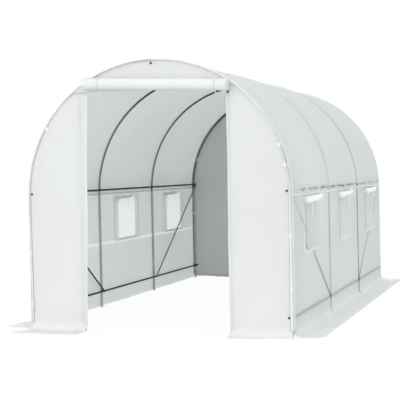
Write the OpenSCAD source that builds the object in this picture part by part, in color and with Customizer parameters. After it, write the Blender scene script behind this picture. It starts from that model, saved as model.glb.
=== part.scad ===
// Walk-in polytunnel greenhouse: four bolted steel arches under a woven film
// cover with a roll-up front door and three netted windows on each side.
// X runs across the tunnel, Y from the front to the back, Z up from the
// ground. The origin lies on the ground in the middle of the plan.

/* [Tunnel] */
// Distance from the first arch to the last
tunnel_length = 3500; // [2600:50:5000]
// Width from leg to leg, at the middle of the tubes
tunnel_width = 2010; // [1800:10:2400]
// Height at which the straight legs end and the hoops begin
spring_height = 985; // [900:5:1200]
// How far the top of a hoop lies below that of a half circle
crown_drop = 31; // [0:1:90]
// Half of the angle that the flatter arc of a hoop's crown spans
crown_half_angle = 30; // [20:1:40]

/* [Steel tubes] */
// Diameter of the straight legs
leg_d = 20; // [18:0.5:25]
// Diameter of the bent hoops
hoop_d = 16; // [12:0.5:16]
// Diameter of the long purlins
purlin_d = 16; // [12:0.5:20]
// Diameter of the diagonal braces
brace_d = 13; // [10:0.5:16]
// Diameter of the two door posts
post_d = 20; // [16:0.5:25]
// Wall of every tube
tube_wall = 1.2; // [0.8:0.1:1.8]
// Length of a hoop's end inside its leg
socket_depth = 70; // [40:5:120]
// Length of the sleeve inside a hoop where its arcs meet
joint_sleeve_l = 40; // [30:1:60]
// Length of purlin beyond the first and the last arch
purlin_overhang = 8; // [0:1:9]
// Height of the middle purlins above the legs' upper ends
mid_purlin_rise = 27; // [20:1:90]
// Height of the low purlins
low_purlin_z = 137; // [110:1:220]
// Length of a brace's flattened end
brace_tab = 38; // [30:1:60]
// Thickness of a brace's flattened end
brace_tab_t = 3; // [2.5:0.1:4]
// Width of a brace's flattened end
brace_tab_w = 18; // [16:1:24]
// Length over which a brace goes from round to flat
brace_taper = 24; // [15:1:40]

/* [Cover] */
// Thickness of the cover sheet
film_t = 3; // [1.5:0.5:5]
// Distance from the legs' upper ends down to the upper seam
upper_seam_drop = 13; // [5:1:40]
// Height of the band of windows between the two seams
window_band_h = 422; // [350:2:520]

/* [Windows] */
// Width of a window opening
window_w = 370; // [250:5:400]
// Height of a window opening
window_h = 385; // [250:5:390]
// Height of a window's lower edge above the lower seam
window_sill = 17; // [8:1:30]
// Height of the hem above and below a window
window_hem = 34; // [15:1:40]
// Width of the hemmed net panel round a window
net_panel_w = 540; // [420:10:640]
// Thickness that the hem adds to the sheet
window_hem_t = 1.5; // [1:0.5:3]
// Overlap of the net behind the opening
net_overlap = 12; // [6:1:20]
// Thickness of the net
net_t = 1; // [0.5:0.1:2]
// Diameter of a window flap that is rolled up
flap_d = 50; // [40:1:70]
// Length of a rolled flap
flap_length = 520; // [300:5:640]
// Height of a rolled flap's middle above the window's top edge
flap_lift = -4; // [-20:1:10]

/* [Door] */
// Width of the doorway between the front panels
door_w = 1110; // [900:10:1300]
// Distance from the top of the hoops down to the tube over the doorway
header_drop = 194; // [150:1:320]
// Distance from the doorway's edge to the middle of its post
post_inset = 22; // [14:1:60]
// Length of header tube beyond the hoop's middle line on each side
header_overhang = 10; // [0:1:14]
// Diameter of the rolled door
door_roll_d = 92; // [70:1:110]
// Height of the rolled door's middle above the header
door_roll_lift = 22; // [0:1:60]
// Length of rolled door beyond the doorway on each side
door_roll_overlap = 10; // [0:1:30]
// Step that the loose edge makes on a roll
roll_lip = 4; // [2:0.5:8]

/* [Skirts] */
// Width of the side skirts that lie on the ground
side_skirt = 200; // [150:5:300]
// Width of the front and back hems that lie on the ground
end_hem = 140; // [100:5:180]
// Radius of the bend from wall to skirt
side_bend_radius = 90; // [40:5:110]
// Radius of the bend from end panel to hem
end_bend_radius = 60; // [40:5:80]

/* [Hidden] */
$fn = 96;
// Clearance between pieces that rest against each other
seat = 0.2;
// Clearance between the cover and the frame
film_seat = 0.3;
// The frame has four arches, which bound three equal bays
arch_count = 4;
leg_r = leg_d / 2;
hoop_r = hoop_d / 2;
purlin_r = purlin_d / 2;
post_r = post_d / 2;
arch_r = tunnel_width / 2;
mid_purlin_z = spring_height + mid_purlin_rise;
upper_seam_z = spring_height - upper_seam_drop;
lower_seam_z = upper_seam_z - window_band_h;
// A hoop is bent to three arcs: two sides and a flatter crown between them
side_arc_r = arch_r - crown_drop / (1 - tan(crown_half_angle / 2));
side_arc_x = arch_r - side_arc_r;
crown_arc_r = side_arc_r + side_arc_x / sin(crown_half_angle);
crown_arc_z = spring_height - side_arc_x / tan(crown_half_angle);
crown_z = crown_arc_z + crown_arc_r;
header_z = crown_z - header_drop;
crown_start = 90 - crown_half_angle;
// Each arc's middle across and up, its radius, and its first and last angle
side_arc = [side_arc_x, spring_height, side_arc_r, 0, crown_start];
crown_arc = [0, crown_arc_z, crown_arc_r, crown_start, 180 - crown_start];
bay = tunnel_length / (arch_count - 1);
first_y = -tunnel_length / 2;
// Inner and outer faces of the side walls, and radii of the roof sheet
film_in = arch_r + leg_r + film_seat;
film_out = film_in + film_t;
// Distance from the middle of the plan to the inner face of each end panel
end_in = tunnel_length / 2 + leg_r + film_seat;
end_out = end_in + film_t;
window_bottom = lower_seam_z + window_sill;
window_top = window_bottom + window_h;
jamb_x = door_w / 2;
post_x = jamb_x + post_inset;
door_roll_z = header_z + door_roll_lift;
flap_z = window_top + flap_lift;
ridge_z = crown_z - hoop_r - seat - purlin_r;
// A hoop's bore, and the diameter of its end inside the leg
hoop_bore = hoop_d - 2 * tube_wall;
plug_d = min(hoop_d, leg_d - 2 * tube_wall - 2 * seat);
// The braces lie against the inner side of the purlins
brace_x = min(purlin_x(mid_purlin_z), purlin_x(low_purlin_z)) - purlin_r - seat - brace_tab_t / 2;
brace_rise = mid_purlin_z - low_purlin_z;
brace_span = sqrt(bay * bay + brace_rise * brace_rise);
brace_angle = atan2(brace_rise, bay);

steel = "#8b9090";
dark_steel = "#3b4142";
film = "#e6eaea";
net_white = "#dfe4ea";

// An arc made shorter at both ends by the given length
function trimmed(arc, cut) =
    let (turn = cut / arc[2] * 180 / PI)
    [arc[0], arc[1], arc[2], arc[3] + turn, arc[4] - turn];
// Half width at height z of an arc with the given middle and radius
function arc_x(arc, z) = arc[0] + sqrt(pow(arc[2], 2) - pow(z - arc[1], 2));
// Half width of the arch's middle line at height z
function arch_x(z) =
    z < spring_height ? arch_r
    : z < spring_height + side_arc_r * sin(crown_start) ? arc_x(side_arc, z)
    : arc_x(crown_arc, z);
// Radius of the arch's tube at height z
function arch_tube_r(z) = z > spring_height ? hoop_r : leg_r;
// A purlin bears on the inner side of the arches at height z
function purlin_x(z) = arch_x(z) - arch_tube_r(z) - seat - purlin_r;
// Place of an arch along the tunnel, counted from the front
function arch_y(i) = first_y + i * bay;

// A round tube along +Z from the origin
module tube(length, d) {
    difference() {
        cylinder(h = length, d = d);
        translate([0, 0, -1])
            cylinder(h = length + 2, d = d - 2 * tube_wall);
    }
}

// A tube along Y that reaches past the first and the last arch
module long_tube(length, d) {
    translate([0, length / 2, 0])
        rotate([90, 0, 0])
            tube(length, d);
}

// A straight leg of arch i, on the side where X has the sign of side
module leg(side, i) {
    color(steel)
        translate([side * arch_r, arch_y(i), 0])
            tube(spring_height, leg_d);
}

// Stands its children up in the plane of an arch, at the middle of an arc
module at_arc(arc) {
    translate([arc[0], 0, arc[1]])
        rotate([90, 0, 0])
            children();
}

// Repeats its children for the left side as a mirror image
module both_sides() {
    for (side = [0, 1])
        mirror([side, 0, 0])
            children();
}

// A round bar bent along one arc
module bent_bar(arc, d) {
    at_arc(arc)
        rotate([0, 0, arc[3]])
            rotate_extrude(angle = arc[4] - arc[3])
                translate([arc[2], 0])
                    circle(d = d);
}

// A hoop's side: bent tube with a straight end that slides into the leg
module hoop_side() {
    difference() {
        union() {
            bent_bar(side_arc, hoop_d);
            translate([arch_r, 0, spring_height - socket_depth])
                cylinder(h = socket_depth, d = plug_d);
        }
        bent_bar(side_arc, plug_d - 2 * tube_wall);
        translate([arch_r, 0, spring_height - socket_depth - 1])
            cylinder(h = socket_depth + 1, d = plug_d - 2 * tube_wall);
    }
}

// A hoop's flatter crown, which meets both sides end to end
module hoop_crown() {
    difference() {
        bent_bar(trimmed(crown_arc, seat), hoop_d);
        bent_bar(trimmed(crown_arc, -1), hoop_bore);
    }
}

// The short sleeve inside the tubes where a side meets the crown
module joint_sleeve() {
    sleeve_d = hoop_bore - 4 * seat;
    at_arc(crown_arc)
        rotate([0, 0, crown_start])
            translate([crown_arc_r, -joint_sleeve_l / 2, 0])
                rotate([-90, 0, 0])
                    tube(joint_sleeve_l, sleeve_d);
}

// A whole hoop: a crown, two sides and the sleeves that join them
module hoop(i) {
    color(dark_steel)
        translate([0, arch_y(i), seat]) {
            hoop_crown();
            both_sides() {
                hoop_side();
                joint_sleeve();
            }
        }
}

// A purlin at distance x from the middle and height z
module purlin(x, z) {
    color(dark_steel)
        translate([x, 0, z])
            long_tube(tunnel_length + 2 * purlin_overhang, purlin_d);
}

// A brace's end along +X from the bolt's middle: flat tab, then round tube
module brace_end() {
    translate([-brace_tab_w / 2, -brace_tab_w / 2, -brace_tab_t / 2])
        cube([brace_tab, brace_tab_w, brace_tab_t]);
    hull() {
        translate([brace_tab - brace_tab_w / 2 - 1, -brace_tab_w / 2, -brace_tab_t / 2])
            cube([1, brace_tab_w, brace_tab_t]);
        translate([brace_tab - brace_tab_w / 2 + brace_taper, 0, 0])
            rotate([0, 90, 0])
                cylinder(h = 1, d = brace_d, $fn = 24);
    }
}

// A diagonal brace that rises along +X from a low purlin to a middle one
module brace_bar() {
    round_from = brace_tab - brace_tab_w / 2 + brace_taper;
    brace_end();
    translate([brace_span, 0, 0])
        rotate([0, 0, 180])
            brace_end();
    translate([round_from, 0, 0])
        rotate([0, 90, 0])
            cylinder(h = brace_span - 2 * round_from, d = brace_d);
}

// A brace on one side, from an end arch down to the next arch inward
module brace(side, end) {
    color(dark_steel)
        translate([side * brace_x, end * (tunnel_length / 2 - bay), low_purlin_z])
            rotate([0, 0, end * 90])
                rotate([90, 0, 0])
                    rotate([0, 0, brace_angle])
                        brace_bar();
}

// A door post that stands in the plane of the first arch
module door_post(side) {
    color(steel)
        translate([side * post_x, first_y, 0])
            tube(header_z + purlin_r, post_d);
}

// The tube over the doorway, behind the first hoop and the posts
module door_header() {
    reach = arch_x(header_z + purlin_r) + header_overhang;
    color(steel)
        translate([-reach, first_y + max(hoop_r, post_r) + seat + purlin_r, header_z])
            rotate([0, 90, 0])
                tube(2 * reach, purlin_d);
}

// A slice of a disc from angle a0 to a1
module sector(radius, a0, a1) {
    far = 2 * radius;
    intersection() {
        circle(r = radius, $fn = 180);
        polygon([[0, 0], far * [cos(a0), sin(a0)], far * [cos(a1), sin(a1)]]);
    }
}

// The stretch of roof sheet that lies over one arc of the hoops
module roof_arc(arc) {
    inner = arc[2] + film_in - arch_r;
    at_arc(arc)
        linear_extrude(2 * end_out, center = true)
            difference() {
                sector(inner + film_t, arc[3], arc[4]);
                circle(r = inner, $fn = 180);
            }
}

// A side of the roof with its straight strip down to the upper seam
module roof_side(side) {
    color(film)
        mirror([side < 0 ? 1 : 0, 0, 0])
            union() {
                roof_arc(side_arc);
                translate([film_in, -end_out, upper_seam_z])
                    cube([film_t, 2 * end_out, spring_height - upper_seam_z]);
            }
}

module roof_crown() {
    color(film)
        roof_arc(crown_arc);
}

// Repeats its children at the middle of each bay
module each_bay() {
    for (i = [0 : arch_count - 2])
        translate([0, arch_y(i) + bay / 2, 0])
            children();
}

// The band between the seams, with a hemmed window cut through in each bay
module window_band(side) {
    hem_bottom = max(lower_seam_z, window_bottom - window_hem);
    hem_top = min(upper_seam_z, window_top + window_hem);
    color(film)
        mirror([side < 0 ? 1 : 0, 0, 0])
            difference() {
                union() {
                    translate([film_in, -end_out, lower_seam_z])
                        cube([film_t, 2 * end_out, window_band_h]);
                    each_bay()
                        translate([film_out, -net_panel_w / 2, hem_bottom])
                            cube([window_hem_t, net_panel_w, hem_top - hem_bottom]);
                }
                each_bay()
                    translate([film_in - 1, -window_w / 2, window_bottom])
                        cube([film_t + window_hem_t + 2, window_w, window_h]);
            }
}

// The plain wall between the lower seam and the skirt's bend
module lower_wall(side) {
    color(film)
        mirror([side < 0 ? 1 : 0, 0, 0])
            translate([film_in, -end_out, side_bend_radius])
                cube([film_t, 2 * end_out, lower_seam_z - side_bend_radius]);
}

// A sheet that comes down at X = 0, bends outward and lies on the ground
module flare(length, reach, bend) {
    rotate([90, 0, 0])
        linear_extrude(length, center = true) {
            intersection() {
                translate([bend, bend])
                    difference() {
                        circle(r = bend);
                        circle(r = bend - film_t);
                    }
                square([bend, bend]);
            }
            translate([bend, 0])
                square([reach - bend, film_t]);
        }
}

module skirt(side) {
    color(film)
        mirror([side < 0 ? 1 : 0, 0, 0])
            translate([film_in, 0, 0])
                flare(2 * end_out, side_skirt + film_t, side_bend_radius);
}

// Points along an arc at the given distance outside the tubes' middle line
function arc_points(arc, offset, a0, a1) =
    [for (a = [a0 : 2.5 : a1]) [arc[0], arc[1]] + (arc[2] + offset) * [cos(a), sin(a)]];

// The outline of an end panel inside the roof sheet, above height z0
module gable_outline(z0) {
    edge = film_in - film_seat;
    half = concat(
        arc_points(side_arc, leg_r, 0, crown_start),
        arc_points(crown_arc, leg_r, crown_start + 2.5, 90)
    );
    intersection() {
        polygon([
            [-edge, 0], [edge, 0], each half,
            for (i = [len(half) - 1 : -1 : 0]) [-half[i][0], half[i][1]]
        ]);
        translate([-edge, z0])
            square([2 * edge, 2 * edge]);
    }
}

// Stands an outline up as a sheet just outside the front arch
module front_sheet() {
    translate([0, -end_in, 0])
        rotate([90, 0, 0])
            linear_extrude(film_t)
                children();
}

// One front panel beside the doorway, with its hem spread on the ground
module front_panel(side) {
    panel_w = film_in - film_seat - jamb_x;
    color(film)
        mirror([side < 0 ? 1 : 0, 0, 0])
            union() {
                front_sheet()
                    intersection() {
                        gable_outline(end_bend_radius);
                        translate([jamb_x, 0])
                            square([panel_w, header_z]);
                    }
                translate([jamb_x + panel_w / 2, -end_in, 0])
                    rotate([0, 0, -90])
                        flare(panel_w, end_hem + film_t, end_bend_radius);
            }
}

module front_gable_top() {
    color(film)
        front_sheet()
            gable_outline(header_z);
}

// The closed back end, with a hem like the front one
module rear_gable() {
    color(film)
        rotate([0, 0, 180])
            union() {
                front_sheet()
                    gable_outline(end_bend_radius);
                translate([0, -end_in, 0])
                    rotate([0, 0, -90])
                        flare(2 * (film_in - film_seat), end_hem + film_t, end_bend_radius);
            }
}

// A wound sheet's cross-section: a spiral whose loose edge makes a step at +X
module roll_outline(d) {
    r_in = d / 2 - roll_lip;
    polygon([for (a = [0 : 10 : 360]) (r_in + roll_lip * a / 360) * [cos(a), sin(a)]]);
}

// The door sheet, rolled up and tied under the top of the front
module door_roll() {
    color(film)
        translate([0, -end_out - film_seat - door_roll_d / 2, door_roll_z])
            rotate([90, 0, 90])
                linear_extrude(door_w + 2 * door_roll_overlap, center = true)
                    roll_outline(door_roll_d);
}

// The nets lie against the inner side of the sheet, behind each opening
module window_nets(side) {
    net_w = window_w + 2 * net_overlap;
    net_h = window_h + 2 * net_overlap;
    color(net_white)
        mirror([side < 0 ? 1 : 0, 0, 0])
            each_bay()
                translate([film_in - film_seat - net_t, -net_w / 2, window_bottom - net_overlap])
                    cube([net_t, net_w, net_h]);
}

// The flaps are rolled up outside, over the top edge of each opening
module window_flaps(side) {
    flap_x = film_out + window_hem_t + film_seat + flap_d / 2;
    color(film)
        mirror([side < 0 ? 1 : 0, 0, 0])
            each_bay()
                translate([flap_x, 0, flap_z])
                    rotate([90, 0, 0])
                        linear_extrude(flap_length, center = true)
                            rotate([0, 0, 180])
                                roll_outline(flap_d);
}

leg(-1, 0);  // leg_left_1
leg(-1, 1);  // leg_left_2
leg(-1, 2);  // leg_left_3
leg(-1, 3);  // leg_left_4
leg(1, 0);  // leg_right_1
leg(1, 1);  // leg_right_2
leg(1, 2);  // leg_right_3
leg(1, 3);  // leg_right_4
hoop(0);  // hoop_1
hoop(1);  // hoop_2
hoop(2);  // hoop_3
hoop(3);  // hoop_4
purlin(0, ridge_z);  // ridge_purlin
purlin(-purlin_x(mid_purlin_z), mid_purlin_z);  // mid_purlin_left
purlin(purlin_x(mid_purlin_z), mid_purlin_z);  // mid_purlin_right
purlin(-purlin_x(low_purlin_z), low_purlin_z);  // low_purlin_left
purlin(purlin_x(low_purlin_z), low_purlin_z);  // low_purlin_right
brace(-1, -1);  // brace_front_left
brace(1, -1);  // brace_front_right
brace(-1, 1);  // brace_rear_left
brace(1, 1);  // brace_rear_right
door_post(-1);  // door_post_left
door_post(1);  // door_post_right
door_header();
roof_side(-1);  // roof_left
roof_crown();
roof_side(1);  // roof_right
window_band(-1);  // window_band_left
window_band(1);  // window_band_right
lower_wall(-1);  // lower_wall_left
lower_wall(1);  // lower_wall_right
skirt(-1);  // skirt_left
skirt(1);  // skirt_right
front_panel(-1);  // front_panel_left
front_panel(1);  // front_panel_right
front_gable_top();
rear_gable();
door_roll();
window_nets(-1);  // window_nets_left
window_nets(1);  // window_nets_right
window_flaps(-1);  // window_flaps_left
window_flaps(1);  // window_flaps_right
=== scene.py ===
# %% [markdown]
# # A walk-in polytunnel greenhouse
#
# Four bolted steel arches carry a cover of woven polyethylene film. The frame
# comes ready made: its tubes keep their shape here and only get their finish.
# The cover is what Blender is for. Each sheet of film is a surface worked out
# with numpy, with the sag, the puckers and the ripples that a real one has.

import bmesh
import bpy
import numpy as np
from mathutils import Matrix, Vector


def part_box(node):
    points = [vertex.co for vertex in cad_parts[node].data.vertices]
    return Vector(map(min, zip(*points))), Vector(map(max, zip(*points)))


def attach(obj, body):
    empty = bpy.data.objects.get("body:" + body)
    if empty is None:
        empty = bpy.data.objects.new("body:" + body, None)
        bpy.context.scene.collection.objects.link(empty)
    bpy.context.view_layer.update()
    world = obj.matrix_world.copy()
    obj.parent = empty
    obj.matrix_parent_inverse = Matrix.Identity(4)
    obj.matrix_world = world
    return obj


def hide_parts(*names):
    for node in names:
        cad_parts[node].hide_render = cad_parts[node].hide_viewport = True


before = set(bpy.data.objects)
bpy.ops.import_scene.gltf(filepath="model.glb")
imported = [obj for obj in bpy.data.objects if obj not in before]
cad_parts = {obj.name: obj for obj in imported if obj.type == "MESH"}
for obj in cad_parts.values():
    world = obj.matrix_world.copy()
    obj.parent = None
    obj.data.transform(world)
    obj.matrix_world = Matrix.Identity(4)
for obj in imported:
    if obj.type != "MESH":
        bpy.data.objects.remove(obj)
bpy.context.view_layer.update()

# %% [markdown]
# ## Measuring the frame
#
# Every place in this lesson comes from the tubes and sheets of the frame, so
# nothing has to be fitted by eye. A node's box gives its lowest and highest
# corner in metres: the middle of a leg's box is the middle of the tube. The
# few lengths in capitals are chosen: the film's thickness, half of the solid
# cover's 3 mm, the bend at the foot of the ends, how far a net laps over its
# opening, how much wider than the flap the sewn frame is, and how far the cut
# in the film reaches up behind the rolled flap. Sides are -1 for left and 1 for
# right.

# %% Sizes taken from the frame
ARCHES = [1, 2, 3, 4]
SIDES = {"left": -1, "right": 1}
FILM_T = 0.0012
HALF_COVER = 0.0015
END_BEND = 0.06
NET_LAP = 0.012
PANEL_EXTRA = 0.02
CUT_RISE = 0.008


def middle(node):
    """The middle of a node's box: half of the sum of its two corners."""
    low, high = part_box(node)
    return (np.array(low) + np.array(high)) / 2


arch_y = [middle(f"leg_left_{i}")[1] for i in ARCHES]
arch_r = middle("leg_right_1")[0]
spring_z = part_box("leg_right_1")[1][2]
film_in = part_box("lower_wall_right")[0][0]
end_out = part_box("lower_wall_right")[1][1]
upper_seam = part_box("roof_right")[0][2]
lower_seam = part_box("window_band_right")[0][2]
skirt_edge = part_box("skirt_right")[1][0]
hem_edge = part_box("rear_gable")[1][1]
mid_purlin = middle("mid_purlin_right")
low_purlin = middle("low_purlin_right")
jamb_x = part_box("front_panel_right")[0][0]
header_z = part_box("front_panel_right")[1][2]
net_low, net_high = (np.array(c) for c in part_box("window_nets_right"))
flap_low, flap_high = (np.array(c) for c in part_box("window_flaps_right"))
roll_low, roll_high = (np.array(c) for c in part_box("door_roll"))
bay = arch_y[1] - arch_y[0]
bay_y = [(a + b) / 2 for a, b in zip(arch_y, arch_y[1:])]
window_w = net_high[1] - net_low[1] - 2 * bay - 2 * NET_LAP
window_z = (net_low[2] + NET_LAP, net_high[2] - NET_LAP)
flap_half = (flap_high[1] - flap_low[1] - 2 * bay) / 2
panel_w = 2 * flap_half + PANEL_EXTRA
cut_z = (window_z[0], window_z[1] + CUT_RISE)
skin = film_in + HALF_COVER
half_tube = (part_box("hoop_1")[1][1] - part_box("hoop_1")[0][1]) / 2
hoop_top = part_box("hoop_1")[1][2] - half_tube
print(f"half width {arch_r:.3f}, bay {bay:.3f}, window {window_w:.3f} m wide at z {window_z}")

# %% [markdown]
# ## The shape of an arch
#
# A hoop isn't half a circle. Its tube is bent to three arcs: two tighter sides
# and a flatter crown that spans 60 degrees. Where two arcs meet they share one
# tangent, so the crown's radius and middle follow from the hoop's height. Every
# sheet, band and clip on the tunnel is placed with these three functions.

# %% The arch's outline
HALF_CROWN = np.radians(30)
crown_drop = arch_r - (hoop_top - spring_z)
side_r = arch_r - crown_drop / (1 - np.tan(HALF_CROWN / 2))
side_x = arch_r - side_r
crown_r = side_r + side_x / np.sin(HALF_CROWN)
crown_sink = side_x / np.tan(HALF_CROWN)


def arch_marks(offset, foot):
    """Girths at which the outline changes from straight to side arc, crown arc, side
    arc and straight: each stretch is a radius times an angle, added up in turn."""
    turn = (side_r + offset) * (np.pi / 2 - HALF_CROWN)
    crown = 2 * (crown_r + offset) * HALF_CROWN
    return np.cumsum([0, spring_z - foot, turn, crown, turn, spring_z - foot])


def arch_line(s, offset, foot):
    """Place and outward direction at girth s along the outline that runs offset
    outside the tube's middle line, from the right foot over the top to the left one."""
    _, leg, low, high, left, _ = arch_marks(offset, foot)
    side, crown, turn = side_r + offset, crown_r + offset, np.pi / 2 - HALF_CROWN
    angle = np.clip((s - leg) / side, 0, turn) + np.clip((s - low) / crown, 0, 2 * HALF_CROWN)
    angle = angle + np.clip((s - high) / side, 0, turn)
    on_crown = (s > low) & (s < high)
    middle_x = np.where(on_crown, 0, np.where(s <= low, side_x, -side_x))
    middle_z = spring_z - np.where(on_crown, crown_sink, 0)
    r = np.where(on_crown, crown, side)
    straight = np.clip(leg - s, 0, None) + np.clip(s - left, 0, None)
    x, z = middle_x + r * np.cos(angle), middle_z + r * np.sin(angle) - straight
    return x, z, np.cos(angle), np.sin(angle)


def arch_half(z, offset=0.0):
    """Half width at height z of the outline that runs offset outside the tube's
    middle line: from Pythagoras on the side arc, then on the crown arc."""
    up = np.clip(z - spring_z, 0, None)
    side, crown = side_r + offset, crown_r + offset
    on_side = side_x + np.sqrt(np.clip(side**2 - up**2, 0, None))
    on_crown = np.sqrt(np.clip(crown**2 - (up + crown_sink) ** 2, 0, None))
    return np.where(up < side * np.cos(HALF_CROWN), on_side, on_crown)


print(f"side arcs {side_r:.3f} m, crown arc {crown_r:.3f} m, top at {hoop_top:.3f} m")

# %% [markdown]
# ## From an array of points to a mesh
#
# A sheet is a function of two parameters: one runs along the cloth's girth,
# the other along its length. The points sit in a grid, and each cell of the
# grid is one quad. Cells can be left out, which is how a window is cut. The
# same helper closes a grid into a tube, and caps the tube's ends. Modelling
# tools could push and pull such a sheet too, but a formula can be read, and it
# changes with the frame.

# %% Mesh helpers
def placed(name, mesh):
    """Puts a mesh into the scene as an object of its own, at the origin."""
    piece = bpy.data.objects.new(name, mesh)
    bpy.context.scene.collection.objects.link(piece)
    return piece


def grid_piece(name, points, keep=None, flip=False, ring=False, caps=False, uv=None, **layers):
    """A mesh from points[row, column, xyz]. Row i and row i + 1 bound a strip of
    quads. keep is a mask of cells, ring joins the last column to the first, and
    caps closes the first and last row of such a tube with one face each. Each
    further name is an attribute with one value for each point."""
    rows, cols = points.shape[:2]
    index = np.arange(rows * cols).reshape(rows, cols)
    nxt = np.roll(index, -1, axis=1) if ring else index[:, 1:]
    here = index if ring else index[:, :-1]
    quads = np.stack([here[:-1], here[1:], nxt[1:], nxt[:-1]], axis=-1)
    quads = (quads if keep is None else quads[keep]).reshape(-1, 4)
    if flip:
        quads = quads[:, ::-1]
    faces = quads.tolist()
    if caps:
        first, last = index[0].tolist(), index[-1].tolist()
        faces += [first[::-1], last] if flip else [first, last[::-1]]
    mesh = bpy.data.meshes.new(name)
    mesh.from_pydata(points.reshape(-1, 3).tolist(), [], faces)
    for key, values in layers.items():
        layer = mesh.attributes.new(key, "FLOAT", "POINT")
        layer.data.foreach_set("value", values.astype(np.float32).ravel())
    if uv is not None:
        loops = np.empty(len(mesh.loops), dtype=np.int32)
        mesh.loops.foreach_get("vertex_index", loops)
        layer = mesh.uv_layers.new(name="metres")
        layer.data.foreach_set("uv", uv.reshape(-1, 2)[loops].astype(np.float32).ravel())
    mesh.polygons.foreach_set("use_smooth", np.ones(len(mesh.polygons), dtype=bool))
    return drop_loose(placed(name, mesh))


def drop_loose(piece):
    """Removes the points that no face uses, such as those inside a window."""
    loose = bmesh.new()
    loose.from_mesh(piece.data)
    spare = [v for v in loose.verts if not v.link_faces]
    bmesh.ops.delete(loose, geom=spare, context="VERTS")
    loose.to_mesh(piece.data)
    loose.free()
    return piece


def joined(name, parts):
    """Joins several pieces into one object under a name of its own."""
    with bpy.context.temp_override(active_object=parts[0], selected_editable_objects=parts):
        bpy.ops.object.join()
    parts[0].name = name
    parts[0].data.name = name
    return parts[0]


# %% [markdown]
# ## Giving a sheet its thickness and its wrinkles
#
# A formula gives the outer face alone. Solidify adds the inner one, as a live
# modifier, and can give it a material of its own. Real film also never lies
# flat. A wrinkle is a sum of a few sine waves with chance directions, which
# costs no simulation and comes out the same each time, because its chance
# starts from a seed.

# %% Thickness, steps and ripples
def thicken(piece, thickness, inside_slot=0):
    """Gives a sheet its thickness inward from the outer face, as a live modifier."""
    wall = piece.modifiers.new("film thickness", "SOLIDIFY")
    wall.thickness = thickness
    wall.offset = -1
    wall.material_offset = inside_slot
    wall.material_offset_rim = inside_slot
    return piece


def two_faced(sheet, outside, inside):
    """Gives a sheet the film's thickness, one material outside and one inside."""
    sheet.data.materials.append(outside)
    sheet.data.materials.append(inside)
    thicken(sheet, FILM_T, inside_slot=1)


def stations(breaks, steps):
    """Values that run through every break in even steps of about the given size,
    with one size for all stretches or one for each."""
    out = [breaks[0]]
    for a, b, step in zip(breaks, breaks[1:], np.broadcast_to(steps, len(breaks) - 1)):
        n = max(1, int(round((b - a) / step)))
        out += list(a + (b - a) * np.arange(1, n + 1) / n)
    return np.array(out)


def ripple(u, v, length, seed, stretch=(1.0, 1.0), waves=7):
    """Soft wrinkles from -1 to 1: a sum of sine waves over (u, v) whose lengths lie
    round the given one and whose directions and phases are drawn from the seed."""
    rng = np.random.default_rng(seed)
    total = 0
    for _ in range(waves):
        angle, phase = rng.uniform(0, np.pi), rng.uniform(0, 2 * np.pi)
        k = 2 * np.pi / (length * rng.uniform(0.6, 1.6))
        along = np.cos(angle) * u / stretch[0] + np.sin(angle) * v / stretch[1]
        total = total + np.sin(k * along + phase)
    return total / np.sqrt(waves) / 1.6


def bell(distance, width):
    """A bump of height 1 that falls off as exp(-(distance / width) squared)."""
    return np.exp(-((distance / width) ** 2))


print("places from 0 to 1 in steps of about 0.3:", np.round(stations([0, 1], 0.3), 3))

# %% [markdown]
# ## Materials
#
# A material starts from what the real one is. The colours are written as they
# would be picked on a screen, in sRGB, and one function turns them to the
# linear values that Blender wants. One more function adds a node, sets its
# values and makes its links, so that a tree reads like a list of steps. A Mix
# node has a socket for each kind of value: its colours are sockets 6 and 7, and
# the mixed colour comes out of socket 2.

# %% Colour and node helpers
def srgb(text):
    """Turns a hex colour such as 'd9dfe0' to linear red, green, blue and alpha."""
    c = np.array([int(text[i : i + 2], 16) for i in (0, 2, 4)]) / 255
    linear = np.where(c <= 0.04045, c / 12.92, ((c + 0.055) / 1.055) ** 2.4)
    return (*linear, 1.0)


def add(tree, kind, inputs=(), **settings):
    """Adds a node: settings are its own values, and inputs are numbers, colours,
    sockets, or nodes, of which the first output is taken."""
    node = tree.nodes.new(kind)
    for key, value in settings.items():
        setattr(node, key, value)
    for key, value in dict(inputs).items():
        if isinstance(value, bpy.types.Node):
            value = value.outputs[0]
        if isinstance(value, bpy.types.NodeSocket):
            tree.links.new(value, node.inputs[key])
        else:
            node.inputs[key].default_value = value
    return node


def new_material(name):
    """An empty material and its node tree, with only the output left in it."""
    material = bpy.data.materials.new(name)
    material.use_nodes = True
    tree = material.node_tree
    for node in list(tree.nodes):
        if node.type != "OUTPUT_MATERIAL":
            tree.nodes.remove(node)
    return material, tree, tree.nodes["Material Output"]


print("a mid grey in linear light:", np.round(srgb("808080"), 3))

# %% [markdown]
# ### Woven film
#
# The cover is polyethylene tape, woven and then coated on both sides. It is
# milky: most light scatters back, and a part goes through, which is why the
# inside is bright. The real tapes are 2.5 mm wide, finer than a pixel here, so
# the weave is a gentle bump drawn at 9 mm. Every 26 mm a thicker tape stops
# tears. Where a tube lies behind the film it holds back the light from inside,
# and that shade is painted: the outer face reads an attribute called shade,
# which each sheet works out from its distance to the tubes, and its colour is
# darkened by it. A second attribute, weld, marks the seams: pressed thin and
# clear, they let more light in and look bright from the inside.
#
# The walls are a little clearer than the roof, and what is folded, welded or
# wound in layers passes less. The closed back looks grey from the doorway, as
# less light falls on it, so its inner face is given a greyer colour than the rest,
# which is painted shade. Polyethylene's index of refraction is 1.5, and the woven
# face is half rough.

# %% Woven film
TAPE = 0.009
RIPSTOP = 0.026
WEAVE_STRENGTH, WEAVE_RELIEF = 0.22, 0.0004
# Colour of the painted shade where a tube stands close behind the film
TUBE_PAINTED_SHADE = "3c4242"


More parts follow.
